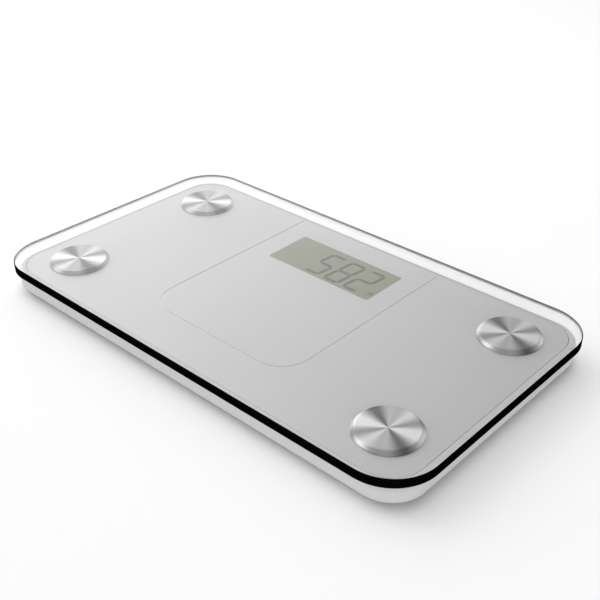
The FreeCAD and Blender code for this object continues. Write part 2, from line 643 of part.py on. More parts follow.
def foot(x, y):
    """The plastic foot: a disc with a retaining flange and a stem under the load cell's tongue."""
    bottom = PAD_THICK - PAD_RECESS
    flange_bottom = FLOOR_TOP + FIT_GAP
    body = cylinder(x, y, bottom, FOOT_RADIUS, flange_bottom - bottom)
    body = body.makeFillet(0.5, edges_at(body, bottom))
    flange = cylinder(x, y, flange_bottom, FOOT_FLANGE, FOOT_FLANGE_THICK)
    stem_top = CELL_BOTTOM - FOOT_TRAVEL_GAP
    stem = cylinder(x, y, flange_bottom + FOOT_FLANGE_THICK, FOOT_STEM, stem_top - flange_bottom - FOOT_FLANGE_THICK)
    stem = stem.makeFillet(0.5, edges_at(stem, stem_top))
    recess = cylinder(x, y, bottom, PAD_RADIUS + CLOSE_GAP, PAD_RECESS)
    return body.fuse([flange, stem]).cut(recess).removeSplitter()


def foot_pad(x, y):
    """The rubber pad set in the foot, with two shallow rings that grip the floor."""
    pad = cylinder(x, y, 0, PAD_RADIUS, PAD_THICK)
    pad = pad.makeFillet(0.3, edges_at(pad, 0))
    rings = []
    for radius in (5.0, 8.5):
        ring = cylinder(x, y, 0, radius + 0.5, 0.3)
        rings.append(ring.cut(cylinder(x, y, 0, radius - 0.5, 0.3)))
    return pad.cut(rings)


def wire_run(points):
    """A round wire bundle along straight runs joined by arcs."""
    edges = []
    start = Vector(*points[0])
    for before, corner, after in zip(points, points[1:], points[2:]):
        corner = Vector(*corner)
        back = (Vector(*before) - corner).normalize()
        ahead = (Vector(*after) - corner).normalize()
        half = back.getAngle(ahead) / 2
        setback = WIRE_BEND / math.tan(half)
        entry = corner + back * setback
        leave = corner + ahead * setback
        bisector = (back + ahead).normalize()
        centre = corner + bisector * (WIRE_BEND / math.sin(half))
        middle = centre - bisector * WIRE_BEND
        edges.append(Part.LineSegment(start, entry).toShape())
        edges.append(Part.Arc(entry, middle, leave).toShape())
        start = leave
    edges.append(Part.LineSegment(start, Vector(*points[-1])).toShape())
    path = Part.Wire(edges)
    direction = (Vector(*points[1]) - Vector(*points[0])).normalize()
    section = Part.Wire([Part.makeCircle(WIRE_RADIUS, Vector(*points[0]), direction)])
    return path.makePipeShell([section], True, False)


def cell_wire(x, y):
    """The wire bundle from a load cell's carrier to the board."""
    side = outward(x)
    level = WIRE_LEVEL
    start_x = x - side * (CELL_SIDE / 2 + FIT_GAP + CLOSE_GAP)
    board_x = LCD_X + side * (BOARD_LENGTH / 2 + CLOSE_GAP)
    if y > 0:
        middle_x = (start_x + board_x) / 2
        end_y = y - 2.4 * WIRE_BEND
        points = [(start_x, y, level), (middle_x, y, level), (middle_x, end_y, level), (board_x, end_y, level)]
        return wire_run(points)
    turn_x = LCD_X + side * (BOARD_LENGTH / 2 - 10.0)
    end_y = BOARD_Y - BOARD_WIDTH / 2 - CLOSE_GAP
    return wire_run([(start_x, y, level), (turn_x, y, level), (turn_x, end_y, level)])


def battery_wire():
    """The two-wire lead from the battery cup to the board."""
    start_y = BATTERY_Y + CUP_INNER + CUP_WALL + CLOSE_GAP
    end_y = BOARD_Y - BOARD_WIDTH / 2 - CLOSE_GAP
    start = Vector(BATTERY_X, start_y, WIRE_LEVEL)
    return Part.makeCylinder(WIRE_RADIUS, end_y - start_y, start, Vector(0, 1, 0))


def rating_label():
    """A blank label in its shallow recess under the tray."""
    return block(LABEL_X, BATTERY_Y, FLOOR_GAP + LABEL_THICK, LABEL_LENGTH, LABEL_WIDTH, LABEL_THICK)


def main():
    """Build every node and write it."""
    os.makedirs("parts", exist_ok=True)
    save("glass_platform", glass_platform())
    save("upper_deck", upper_deck())
    save("lower_tray", lower_tray())
    for name, (x, y) in DISC_PLACES.items():
        save("standoff_disc_" + name, standoff_disc(x, y))
    for name, (x, y) in CELL_PLACES.items():
        save("cell_carrier_" + name, cell_carrier(x, y))
        save("load_cell_" + name, load_cell(x, y))
        save("foot_" + name, foot(x, y))
        save("foot_pad_" + name, foot_pad(x, y))
        save("cell_wire_" + name, cell_wire(x, y))
    save("disc_bonds", [disc_bond(x, y) for x, y in DISC_PLACES.values()])
    save("disc_screws", [disc_screw(x, y) for x, y in DISC_PLACES.values()])
    save("strain_gauges", [strain_gauge(x, y) for x, y in CELL_PLACES.values()])
    save("shell_screws", [shell_screw(x, y) for x, y in SHELL_SCREWS])
    save("board_screws", [board_screw(x, y) for x, y in BOARD_SCREWS])
    save("display_window", display_window())
    save("display_front_glass", display_front_glass())
    save("display_rear_glass", display_rear_glass())
    save("display_reflector", display_reflector())
    save("display_frame", display_frame())
    save("elastomer_strip", elastomer_strip())
    save("main_board", main_board())
    save("chip_blob", chip_blob())
    save("crystal_can", crystal_can())
    save("chip_capacitors", chip_capacitors())
    save("unit_switch", unit_switch())
    save("unit_button", unit_button())
    save("battery_cup", battery_cup())
    save("coin_cell", coin_cell())
    save("negative_contact", negative_contact())
    save("positive_contact", positive_contact())
    save("battery_wire", battery_wire())
    save("battery_door", battery_door())
    save("rating_label", rating_label())


main()
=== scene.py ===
"""Finishes, light and camera for a digital bathroom scale.

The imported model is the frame: a clear glass platform on four turned discs over a silver deck and a
pale tray. This script gives every part its finish, and builds the glass, the turned discs and the
liquid crystal display as finer pieces. Lengths are in metres.
"""

import logging
import math
from dataclasses import dataclass
from enum import Enum
from typing import Iterable, Sequence

import bmesh
import bpy
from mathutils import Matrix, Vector


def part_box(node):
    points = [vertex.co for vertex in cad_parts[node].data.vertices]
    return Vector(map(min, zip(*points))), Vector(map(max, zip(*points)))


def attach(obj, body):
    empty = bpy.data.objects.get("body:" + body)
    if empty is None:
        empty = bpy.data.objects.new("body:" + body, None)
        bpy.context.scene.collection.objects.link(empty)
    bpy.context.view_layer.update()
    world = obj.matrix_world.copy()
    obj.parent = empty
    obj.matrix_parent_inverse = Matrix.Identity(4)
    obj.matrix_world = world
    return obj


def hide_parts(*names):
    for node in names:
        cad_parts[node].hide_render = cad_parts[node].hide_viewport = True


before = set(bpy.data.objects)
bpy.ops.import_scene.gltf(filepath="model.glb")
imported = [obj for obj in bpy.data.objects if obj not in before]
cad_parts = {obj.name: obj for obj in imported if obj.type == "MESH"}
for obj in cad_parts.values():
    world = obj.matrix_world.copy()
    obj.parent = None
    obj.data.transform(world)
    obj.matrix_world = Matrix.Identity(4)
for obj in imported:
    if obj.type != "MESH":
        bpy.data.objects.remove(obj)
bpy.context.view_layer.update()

LOG = logging.getLogger("bathroom_scale")
MM = 0.001
Colour = tuple[float, float, float]

PAINTED_FAN_WAVES = ((2, 0.30, -1.51), (4, 0.41, -1.04), (6, 0.25, -1.77), (8, 0.10, 1.53))
# Each wave of painted highlight round a turned disc: its count, weight and phase in radians.
"""Each wave of light round a turned disc: its count, weight and phase in radians."""

RING_CONTRAST = 0.25
# The least share of the base colour that the painted highlight fans may leave.
DARKEST_PAINTED_FAN = 0.03
RING_BUMP = 0.12
RING_DEPTH = 0.02 * MM
GRAIN_DEPTH = 0.03 * MM
GLASS_SHADE = (0.955, 0.957, 0.956, 1.0)
PAINTED_LIGHT_LEVEL = 16.8 * MM
# Below this height the inside of the glass edge is painted paler, as painted light.
"""Below this height the inside of the ground edge is paler."""

FLAT_FACE = 0.9
"""A plate face whose normal is more upright than this is flat, and the rest are edge faces."""

SHARP_PLATE = 30.0
SHARP_DISC = 25.0
WHITE = (1.0, 1.0, 1.0, 1.0)


class Corner(Enum):
    """The four corners of the scale, by the sign of X and Y."""

    FRONT_LEFT = (-1, -1)
    FRONT_RIGHT = (1, -1)
    BACK_LEFT = (-1, 1)
    BACK_RIGHT = (1, 1)

    @property
    def label(self) -> str:
        """The corner's name as the frame's nodes end."""
        return self.name.lower()


class Segment(Enum):
    """The seven strokes of a digit: start and end, in shares of its width and height."""

    TOP = ((0.0, 1.0), (1.0, 1.0))
    UPPER_LEFT = ((0.0, 0.5), (0.0, 1.0))
    UPPER_RIGHT = ((1.0, 0.5), (1.0, 1.0))
    MIDDLE = ((0.0, 0.5), (1.0, 0.5))
    LOWER_LEFT = ((0.0, 0.0), (0.0, 0.5))
    LOWER_RIGHT = ((1.0, 0.0), (1.0, 0.5))
    BOTTOM = ((0.0, 0.0), (1.0, 0.0))


FIVE = (Segment.TOP, Segment.UPPER_LEFT, Segment.MIDDLE, Segment.LOWER_RIGHT, Segment.BOTTOM)
EIGHT = tuple(Segment)
TWO = (Segment.TOP, Segment.UPPER_RIGHT, Segment.MIDDLE, Segment.LOWER_LEFT, Segment.BOTTOM)


# ---- shared node groups ----


def new_group(
    name: str, inputs: Sequence[tuple[str, str, object]], outputs: Sequence[tuple[str, str]]
) -> tuple[bpy.types.NodeTree, bpy.types.Node, bpy.types.Node]:
    """Start a shader node group.

    Args:
        name: The group's name.
        inputs: Each input's name, socket type and default value.
        outputs: Each output's name and socket type.

    Returns:
        The group, its input node and its output node.
    """
    group = bpy.data.node_groups.new(name, "ShaderNodeTree")
    for label, kind, value in inputs:
        socket = group.interface.new_socket(name=label, in_out="INPUT", socket_type=kind)
        socket.default_value = value
    for label, kind in outputs:
        group.interface.new_socket(name=label, in_out="OUTPUT", socket_type=kind)
    return group, group.nodes.new("NodeGroupInput"), group.nodes.new("NodeGroupOutput")


def maths(
    nodes: bpy.types.Nodes,
    links: bpy.types.NodeLinks,
    operation: str,
    *values: "bpy.types.NodeSocket | float",
) -> bpy.types.NodeSocket:
    """Add a Math node.

    Args:
        nodes: The tree's nodes.
        links: The tree's links.
        operation: The Math node's operation.
        values: Sockets or plain numbers, one for each input.

    Returns:
        The result socket.
    """
    node = nodes.new("ShaderNodeMath")
    node.operation = operation
    for slot, value in zip(node.inputs, values):
        if isinstance(value, (int, float)):
            slot.default_value = value
        else:
            links.new(value, slot)
    return node.outputs[0]


def object_point(nodes: bpy.types.Nodes) -> bpy.types.NodeSocket:
    """Return the socket with each point's place in the piece's own space."""
    return nodes.new("ShaderNodeTexCoord").outputs["Object"]


def noise(
    nodes: bpy.types.Nodes, links: bpy.types.NodeLinks, scale: bpy.types.NodeSocket, detail: float
) -> bpy.types.NodeSocket:
    """Add a noise texture in the piece's own space.

    Args:
        nodes: The tree's nodes.
        links: The tree's links.
        scale: The socket with the waves per metre.
        detail: The number of finer layers.

    Returns:
        The socket with the noise's value, around 0.5.
    """
    node = nodes.new("ShaderNodeTexNoise")
    node.inputs["Detail"].default_value = detail
    links.new(object_point(nodes), node.inputs["Vector"])
    links.new(scale, node.inputs["Scale"])
    return node.outputs["Fac"]


def build_surface_group() -> bpy.types.NodeTree:
    """Build the group behind moulded, painted and cast surfaces, with painted light below a given height.

    Returns:
        A group that puts out a varied colour, a roughness and a grain height.
    """
    group, given, out = new_group(
        "surface_variation",
        [
            ("Base", "NodeSocketColor", (0.8, 0.8, 0.8, 1.0)),
            ("Roughness", "NodeSocketFloat", 0.5),
            ("Grain Scale", "NodeSocketFloat", 2500.0),
            ("Patch Scale", "NodeSocketFloat", 14.0),
            ("Tone Change", "NodeSocketFloat", 0.04),
            ("Gloss Change", "NodeSocketFloat", 0.08),
            ("Recess Level", "NodeSocketFloat", -1.0),
            ("Recess Tone", "NodeSocketFloat", 0.0),
        ],
        [("Color", "NodeSocketColor"), ("Roughness", "NodeSocketFloat"), ("Height", "NodeSocketFloat")],
    )
    nodes, links = group.nodes, group.links
    patch = maths(nodes, links, "SUBTRACT", noise(nodes, links, given.outputs["Patch Scale"], 3.0), 0.5)
    grain = noise(nodes, links, given.outputs["Grain Scale"], 2.0)
    speck = maths(nodes, links, "SUBTRACT", grain, 0.5)
    tone = maths(nodes, links, "ADD", patch, maths(nodes, links, "MULTIPLY", speck, 0.5))
    gain = maths(nodes, links, "MULTIPLY_ADD", tone, given.outputs["Tone Change"], 1.0)
    split = nodes.new("ShaderNodeSeparateXYZ")
    links.new(object_point(nodes), split.inputs[0])
    # Below the given height the colour is raised, as painted light.
    painted_light_mask = maths(nodes, links, "LESS_THAN", split.outputs["Z"], given.outputs["Recess Level"])
    gain = maths(nodes, links, "MULTIPLY_ADD", painted_light_mask, given.outputs["Recess Tone"], gain)
    scale = nodes.new("ShaderNodeVectorMath")
    scale.operation = "SCALE"
    links.new(given.outputs["Base"], scale.inputs[0])
    links.new(gain, scale.inputs["Scale"])
    change, gloss = given.outputs["Gloss Change"], given.outputs["Roughness"]
    rough = maths(nodes, links, "MULTIPLY_ADD", tone, change, gloss)
    links.new(scale.outputs[0], out.inputs["Color"])
    links.new(rough, out.inputs["Roughness"])
    links.new(grain, out.inputs["Height"])
    return group


def build_turning_group() -> bpy.types.NodeTree:
    """Build the group behind turned metal: fine rings, and fans of highlight painted into its colour.

    Returns:
        A group that puts out a colour and a ring height about the piece's own Z axis.
    """
    group, given, out = new_group(
        "turned_rings",
        [
            ("Base", "NodeSocketColor", (0.8, 0.8, 0.8, 1.0)),
            ("Ring Scale", "NodeSocketFloat", 3200.0),
            ("Fan Depth", "NodeSocketFloat", 0.5),
            ("Fan Turn", "NodeSocketFloat", 0.0),
        ],
        [("Color", "NodeSocketColor"), ("Height", "NodeSocketFloat")],
    )
    nodes, links = group.nodes, group.links
    split = nodes.new("ShaderNodeSeparateXYZ")
    links.new(object_point(nodes), split.inputs[0])
    x, y = split.outputs["X"], split.outputs["Y"]
    angle = maths(nodes, links, "ADD", maths(nodes, links, "ARCTAN2", y, x), given.outputs["Fan Turn"])
    square = maths(nodes, links, "MULTIPLY_ADD", x, x, maths(nodes, links, "MULTIPLY", y, y))
    radius = maths(nodes, links, "SQRT", square)
    rings = nodes.new("ShaderNodeTexNoise")
    rings.noise_dimensions = "1D"
    rings.inputs["Detail"].default_value = 2.0
    links.new(radius, rings.inputs["W"])
    links.new(given.outputs["Ring Scale"], rings.inputs["Scale"])
    # Painted highlight: waves of brightness round the disc, put into the base colour as fans of
    # reflection.
    painted_fan = 0.0
    for count, weight, phase in PAINTED_FAN_WAVES:
        turned = maths(nodes, links, "MULTIPLY_ADD", angle, float(count), phase)
        painted_fan = maths(nodes, links, "MULTIPLY_ADD", maths(nodes, links, "COSINE", turned), weight, painted_fan)
    swing = maths(nodes, links, "SUBTRACT", rings.outputs["Fac"], 0.5)
    ring_tone = maths(nodes, links, "MULTIPLY", swing, RING_CONTRAST)
    tone = maths(nodes, links, "ADD", painted_fan, ring_tone)
    gain = maths(nodes, links, "MULTIPLY_ADD", tone, given.outputs["Fan Depth"], 1.0)
    scale = nodes.new("ShaderNodeVectorMath")
    scale.operation = "SCALE"
    links.new(given.outputs["Base"], scale.inputs[0])
    links.new(maths(nodes, links, "MAXIMUM", gain, DARKEST_PAINTED_FAN), scale.inputs["Scale"])
    links.new(scale.outputs[0], out.inputs["Color"])
    links.new(rings.outputs["Fac"], out.inputs["Height"])
    return group


# ---- finishes ----


@dataclass(frozen=True)
class SurfaceFinish:
    """A moulded, painted, cast or plated finish, from the shared surface group."""

    name: str
    colour: Colour
    roughness: float
    metallic: float = 0.0
    grain: float = 2500.0
    patch: float = 14.0
    tone: float = 0.05
    gloss: float = 0.08
    bump: float = 0.05
    coat: float = 0.0
    alpha: float = 1.0
    specular: float = 0.5
    recess_level: float = -1.0
    recess_tone: float = 0.0

    def build(self, group: bpy.types.NodeTree) -> bpy.types.Material:
        """Make the material.

        Args:
            group: The shared surface group.

        Returns:
            The finished material.
        """
        material, nodes, links, shader = start_material(self.name)
        surface = nodes.new("ShaderNodeGroup")
        surface.node_tree = group
        surface.inputs["Base"].default_value = (*self.colour, 1.0)
        surface.inputs["Roughness"].default_value = self.roughness
        surface.inputs["Grain Scale"].default_value = self.grain
        surface.inputs["Patch Scale"].default_value = self.patch
        surface.inputs["Tone Change"].default_value = self.tone
        surface.inputs["Gloss Change"].default_value = self.gloss
        surface.inputs["Recess Level"].default_value = self.recess_level
        surface.inputs["Recess Tone"].default_value = self.recess_tone
        links.new(surface.outputs["Color"], shader.inputs["Base Color"])
        links.new(surface.outputs["Roughness"], shader.inputs["Roughness"])
        add_bump(nodes, links, surface.outputs["Height"], shader, self.bump, GRAIN_DEPTH)
        shader.inputs["Metallic"].default_value = self.metallic
        shader.inputs["Coat Weight"].default_value = self.coat
        shader.inputs["Specular IOR Level"].default_value = self.specular
        shader.inputs["Alpha"].default_value = self.alpha
        return material


@dataclass(frozen=True)
class TurnedFinish:
    """Bright metal turned in fine rings, with fans of highlight painted into its colour."""

    name: str
    colour: Colour
    roughness: float
    fan_depth: float
    fan_turn: float

    def build(self, group: bpy.types.NodeTree) -> bpy.types.Material:
        """Make the material.

        Args:
            group: The shared turning group.

        Returns:
            The finished material.
        """
        material, nodes, links, shader = start_material(self.name)
        turned = nodes.new("ShaderNodeGroup")
        turned.node_tree = group
        turned.inputs["Base"].default_value = (*self.colour, 1.0)
        turned.inputs["Fan Depth"].default_value = self.fan_depth
        turned.inputs["Fan Turn"].default_value = self.fan_turn
        links.new(turned.outputs["Color"], shader.inputs["Base Color"])
        add_bump(nodes, links, turned.outputs["Height"], shader, RING_BUMP, RING_DEPTH)
        shader.inputs["Metallic"].default_value = 1.0
        shader.inputs["Roughness"].default_value = self.roughness
        return material


@dataclass(frozen=True)
class GlassFinish:
    """Clear glass that lets the lamps reach what lies under it; its edge can carry painted shade outside
    and painted light inside.
    """

    name: str
    colour: Colour
    ior: float = 1.5
    # When set, the edge is painted near black outside as painted shade, and paler inside as painted
    # light.
    dark_outside: bool = False
    painted_inside_share: float = 0.8
    painted_outside_shade: float = 0.0015
    painted_inside_light: float = 0.09
    painted_light_rise: float = 6.0

    def build(self, group: bpy.types.NodeTree) -> bpy.types.Material:
        """Make the material.

        Args:
            group: The shared surface group, for the edge's painted light and shade.

        Returns:
            The finished material.
        """
        material, nodes, links, shader = start_material(self.name)
        shader.inputs["Base Color"].default_value = (*self.colour, 1.0)
        shader.inputs["Roughness"].default_value = 0.0
        shader.inputs["Metallic"].default_value = 0.0
        shader.inputs["Transmission Weight"].default_value = 1.0
        shader.inputs["IOR"].default_value = self.ior
        seen = shader.outputs[0]
        if self.dark_outside:
            seen = self.painted_edge_shade(nodes, links, group, seen)
        clear = nodes.new("ShaderNodeBsdfTransparent")
        clear.inputs["Color"].default_value = GLASS_SHADE
        path = nodes.new("ShaderNodeLightPath")
        mix = nodes.new("ShaderNodeMixShader")
        links.new(path.outputs["Is Shadow Ray"], mix.inputs["Fac"])
        links.new(seen, mix.inputs[1])
        links.new(clear.outputs[0], mix.inputs[2])
        output = next(node for node in nodes if node.type == "OUTPUT_MATERIAL")
        links.new(mix.outputs[0], output.inputs["Surface"])
        return material

    def painted_edge_shade(
        self,
        nodes: bpy.types.Nodes,
        links: bpy.types.NodeLinks,
        group: bpy.types.NodeTree,
        glass: bpy.types.NodeSocket,
    ) -> bpy.types.NodeSocket:
        """Make the edge near black from outside as painted shade, and partly a pale diffuse face from
        inside the plate as painted light.

        Args:
            nodes: The material's nodes.
            links: The material's links.
            group: The shared surface group.
            glass: The socket of the clear glass, kept for light inside the plate.

        Returns:
            The socket of the mixed shader.
        """
        outside = self.painted_edge_face(nodes, links, group, self.painted_outside_shade, 0.0)
        inside = self.painted_edge_face(nodes, links, group, self.painted_inside_light, self.painted_light_rise)
        # From inside, the glass mixes with a pale diffuse face as painted light.
        painted_inside_mix = nodes.new("ShaderNodeMixShader")
        painted_inside_mix.inputs["Fac"].default_value = self.painted_inside_share
        links.new(glass, painted_inside_mix.inputs[1])
        links.new(inside, painted_inside_mix.inputs[2])
        mix = nodes.new("ShaderNodeMixShader")
        links.new(nodes.new("ShaderNodeNewGeometry").outputs["Backfacing"], mix.inputs["Fac"])
        links.new(outside, mix.inputs[1])
        links.new(painted_inside_mix.outputs[0], mix.inputs[2])
        return mix.outputs[0]

    def painted_edge_face(
        self,
        nodes: bpy.types.Nodes,
        links: bpy.types.NodeLinks,
        group: bpy.types.NodeTree,
        tone: float,
        rise: float,
    ) -> bpy.types.NodeSocket:
        """Make one side of the edge's painted light and shade, as a diffuse face.

        Args:
            nodes: The material's nodes.
            links: The material's links.
            group: The shared surface group.
            tone: How pale it is along its upper half.
            rise: How much paler its lower half is, in multiples of the tone.

        Returns:
            The socket of its shader.
        """
        surface = nodes.new("ShaderNodeGroup")
        surface.node_tree = group
        surface.inputs["Base"].default_value = (tone, tone, tone, 1.0)
        surface.inputs["Roughness"].default_value = 0.6
        surface.inputs["Tone Change"].default_value = 0.5
        surface.inputs["Recess Level"].default_value = PAINTED_LIGHT_LEVEL
        surface.inputs["Recess Tone"].default_value = rise
        painted_face = nodes.new("ShaderNodeBsdfPrincipled")
        painted_face.inputs["Specular IOR Level"].default_value = 0.0
        links.new(surface.outputs["Color"], painted_face.inputs["Base Color"])
        links.new(surface.outputs["Roughness"], painted_face.inputs["Roughness"])
        return painted_face.outputs[0]


def start_material(
    name: str,
) -> tuple[bpy.types.Material, bpy.types.Nodes, bpy.types.NodeLinks, bpy.types.ShaderNode]:
    """Start a node material.

    Args:
        name: The material's name.

    Returns:
        The material, its nodes, its links and its Principled shader.
    """
    material = bpy.data.materials.new(name)
    material.use_nodes = True
    nodes = material.node_tree.nodes
    shader = next(node for node in nodes if node.type == "BSDF_PRINCIPLED")
    return material, nodes, material.node_tree.links, shader


def add_bump(
    nodes: bpy.types.Nodes,
    links: bpy.types.NodeLinks,
    height: bpy.types.NodeSocket,
    shader: bpy.types.ShaderNode,
    strength: float,
    distance: float,
) -> None:
    """Feed a height into a shader's normal.

    Args:
        nodes: The material's nodes.
        links: The material's links.
        height: The socket with the height.
        shader: The Principled shader.
        strength: The bump's strength.
        distance: The bump's depth in metres.
    """
    bump = nodes.new("ShaderNodeBump")
    bump.inputs["Strength"].default_value = strength
    bump.inputs["Distance"].default_value = distance
    links.new(height, bump.inputs["Height"])
    links.new(bump.outputs["Normal"], shader.inputs["Normal"])


FINISHES = (
    SurfaceFinish(
        "silver_lacquer",
        (0.60, 0.60, 0.60),
        0.42,
        metallic=0.35,
        grain=5200.0,
        patch=9.0,
        tone=0.02,
        bump=0.02,
        coat=0.1,
        # The groove floor is painted lighter, as painted light against the shade in the groove.
        recess_level=12.25 * MM,
        recess_tone=0.16,
    ),
    SurfaceFinish("pale_moulding", (0.62, 0.62, 0.625), 0.48, grain=3000.0, tone=0.03, bump=0.08),
    SurfaceFinish("dark_moulding", (0.03, 0.03, 0.032), 0.5, grain=2800.0, tone=0.2),
    SurfaceFinish("foot_moulding", (0.52, 0.52, 0.525), 0.5, grain=2800.0, tone=0.05, bump=0.08),
    SurfaceFinish(
        "black_rubber",
        (0.018, 0.018, 0.018),
        0.72,
        grain=1800.0,
        tone=0.35,
        bump=0.3,
        specular=0.3,
    ),
    SurfaceFinish("spring_steel", (0.5, 0.5, 0.49), 0.34, metallic=1.0, grain=1500.0, tone=0.2),
    SurfaceFinish("plated_steel", (0.55, 0.55, 0.56), 0.3, metallic=1.0, grain=1500.0, tone=0.2),
    SurfaceFinish("amber_film", (0.55, 0.27, 0.05), 0.3, grain=3000.0, tone=0.2),
    SurfaceFinish("red_wire_cover", (0.45, 0.03, 0.025), 0.45, grain=2500.0),
    SurfaceFinish("clear_bond", (0.9, 0.9, 0.9), 0.1, alpha=0.03),
    SurfaceFinish("striped_elastomer", (0.5, 0.44, 0.46), 0.7, grain=900.0, tone=0.3),
    SurfaceFinish("green_board", (0.01, 0.11, 0.035), 0.3, grain=900.0, tone=0.25, coat=0.3),
    SurfaceFinish("poured_resin", (0.008, 0.008, 0.008), 0.22, grain=300.0, bump=0.15),
    SurfaceFinish("nickel_strip", (0.66, 0.64, 0.6), 0.24, metallic=1.0, grain=1200.0, tone=0.15),
    SurfaceFinish("fired_ceramic", (0.35, 0.22, 0.12), 0.5, grain=3000.0),
    SurfaceFinish("black_moulding", (0.012, 0.012, 0.012), 0.4, grain=2500.0),
    SurfaceFinish("grey_button", (0.07, 0.07, 0.073), 0.45, grain=2800.0, bump=0.1),
    SurfaceFinish("blank_label", (0.7, 0.7, 0.69), 0.38, grain=4000.0, tone=0.03),
    SurfaceFinish("reflective_film", (0.262, 0.267, 0.194), 0.55, grain=6000.0, patch=60.0, tone=0.06),
    SurfaceFinish("dark_segment", (0.08, 0.085, 0.05), 0.5, grain=3000.0, tone=0.08),
    SurfaceFinish("studio_floor", (0.9, 0.9, 0.9), 0.7, grain=800.0, patch=3.0, tone=0.004, bump=0.01),
)

# The left and right discs share one metal in two lit copies; their colours and painted fans differ as
# painted light and shade on each side.
TURNED_FINISHES = (
    TurnedFinish("turned_metal_right", (0.58, 0.58, 0.58), 0.3, 1.35, 0.0),
    TurnedFinish("turned_metal_left", (0.38, 0.38, 0.38), 0.3, 1.6, -0.26),
    # The rim bevel is the same metal, painted dark as painted shade and reflection.
    TurnedFinish("turned_rim", (0.12, 0.12, 0.12), 0.32, 0.15, 0.6),
)

GLASS_FINISHES = (
    GlassFinish("platform_glass", (0.993, 1.0, 0.996)),
    # The edge faces carry painted shade outside and painted light inside.
    GlassFinish("platform_edge", (0.993, 1.0, 0.996), dark_outside=True),
)

NODE_FINISHES = {
    "upper_deck": "silver_lacquer",
    "lower_tray": "pale_moulding",
    "battery_door": "foot_moulding",
    "unit_button": "grey_button",
    "rating_label": "blank_label",
    "disc_bonds": "clear_bond",
    "disc_screws": "plated_steel",
    "shell_screws": "plated_steel",
    "board_screws": "plated_steel",
    "strain_gauges": "amber_film",
    "display_frame": "dark_moulding",
    "elastomer_strip": "striped_elastomer",
    "main_board": "green_board",
    "chip_blob": "poured_resin",
    "crystal_can": "nickel_strip",
    "chip_capacitors": "fired_ceramic",
    "unit_switch": "black_moulding",
    "battery_cup": "dark_moulding",
    "coin_cell": "nickel_strip",
    "negative_contact": "nickel_strip",
    "positive_contact": "nickel_strip",
    "battery_wire": "red_wire_cover",
    "display_reflector": "reflective_film",
    "display_rear_glass": "reflective_film",
}

CORNER_FINISHES = {
    "cell_carrier_": "dark_moulding",
    "load_cell_": "spring_steel",
    "foot_": "foot_moulding",
    "foot_pad_": "black_rubber",
    "cell_wire_": "red_wire_cover",
}


@dataclass
class FinishCupboard:
    """Every material, made once."""

    materials: dict[str, bpy.types.Material]

    @classmethod
    def stocked(cls) -> "FinishCupboard":
        """Return a cupboard with every finish made."""
        surface = build_surface_group()
        turning = build_turning_group()
        made = {finish.name: finish.build(surface) for finish in FINISHES}
        for finish in TURNED_FINISHES:
            made[finish.name] = finish.build(turning)
        for finish in GLASS_FINISHES:
            made[finish.name] = finish.build(surface)
        return cls(made)

    def dress(self, piece: bpy.types.Object, finish: str) -> None:
        """Put one finish on a whole piece."""
        piece.data.materials.clear()
        piece.data.materials.append(self.materials[finish])


# ---- mesh helpers ----


def rounded_outline(half_x: float, half_y: float, radius: float, steps: int) -> list[tuple[float, float]]:
    """Work out a rectangle's outline with round corners, anticlockwise.

    Args:
        half_x: Half the length.
        half_y: Half the width.
        radius: The corner radius.
        steps: The number of spans in each corner.

    Returns:
        The outline's points.
    """
    points = []
    for quarter, (side, end) in enumerate(((1, 1), (-1, 1), (-1, -1), (1, -1))):
        for step in range(steps + 1):
            angle = math.radians(90 * (quarter + step / steps))
            x = side * (half_x - radius) + radius * math.cos(angle)
            y = end * (half_y - radius) + radius * math.sin(angle)
            points.append((x, y))
    return points


def lofted(name: str, rings: Sequence[Sequence[Sequence[float]]]) -> bpy.types.Object:
    """Skin a closed piece over rings of points from bottom to top.

    Args:
        name: The piece's name.
        rings: The rings, each with as many points as the others.

    Returns:
        The new piece, linked to the scene.
    """
    mesh = bmesh.new()
    loops = [[mesh.verts.new(point) for point in ring] for ring in rings]
    count = len(loops[0])
    mesh.faces.new(list(reversed(loops[0])))
    for low, high in zip(loops, loops[1:]):
        for n in range(count):
            after = (n + 1) % count
            mesh.faces.new((low[n], low[after], high[after], high[n])).smooth = True
    mesh.faces.new(loops[-1])
    bmesh.ops.recalc_face_normals(mesh, faces=mesh.faces)
    return linked(name, mesh)


def linked(name: str, mesh: bmesh.types.BMesh) -> bpy.types.Object:
    """Turn a bmesh into a piece in the scene.

    Args:
        name: The piece's name.
        mesh: The mesh, which is freed.

    Returns:
        The new piece.
    """
    data = bpy.data.meshes.new(name)
    mesh.to_mesh(data)
    mesh.free()
    piece = bpy.data.objects.new(name, data)
    bpy.context.scene.collection.objects.link(piece)
    return piece


def middle_of(node: str) -> Vector:
    """Return the middle of a frame node's box."""
    low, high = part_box(node)
    return (low + high) / 2


# ---- sub-assemblies ----


@dataclass
class GlassPlatform:
    """The clear plate that a person stands on."""

    corner: float = 28.8 * MM
    arris: float = 0.5 * MM
    steps: int = 40

    def build(self, finishes: FinishCupboard) -> bpy.types.Object:
        """Make the plate with finely rounded corners.

        Args:
            finishes: The materials.

        Returns:
            The plate.
        """
        low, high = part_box("glass_platform")
        half = (high - low) / 2
        levels = (
            (low.z, self.arris),
            (low.z + self.arris, 0.0),
            (high.z - self.arris, 0.0),
            (high.z, self.arris),
        )
        rings = []
        for level, inset in levels:
            outline = rounded_outline(half.x - inset, half.y - inset, self.corner - inset, self.steps)
            rings.append([(x, y, level) for x, y in outline])
        plate = lofted("glass_plate", rings)
        mark_sharp(plate, SHARP_PLATE)
        finishes.dress(plate, "platform_glass")
        plate.data.materials.append(finishes.materials["platform_edge"])
        for face in plate.data.polygons:
            face.material_index = 0 if abs(face.normal.z) > FLAT_FACE else 1
        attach(plate, "base")
        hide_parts("glass_platform")
        return plate


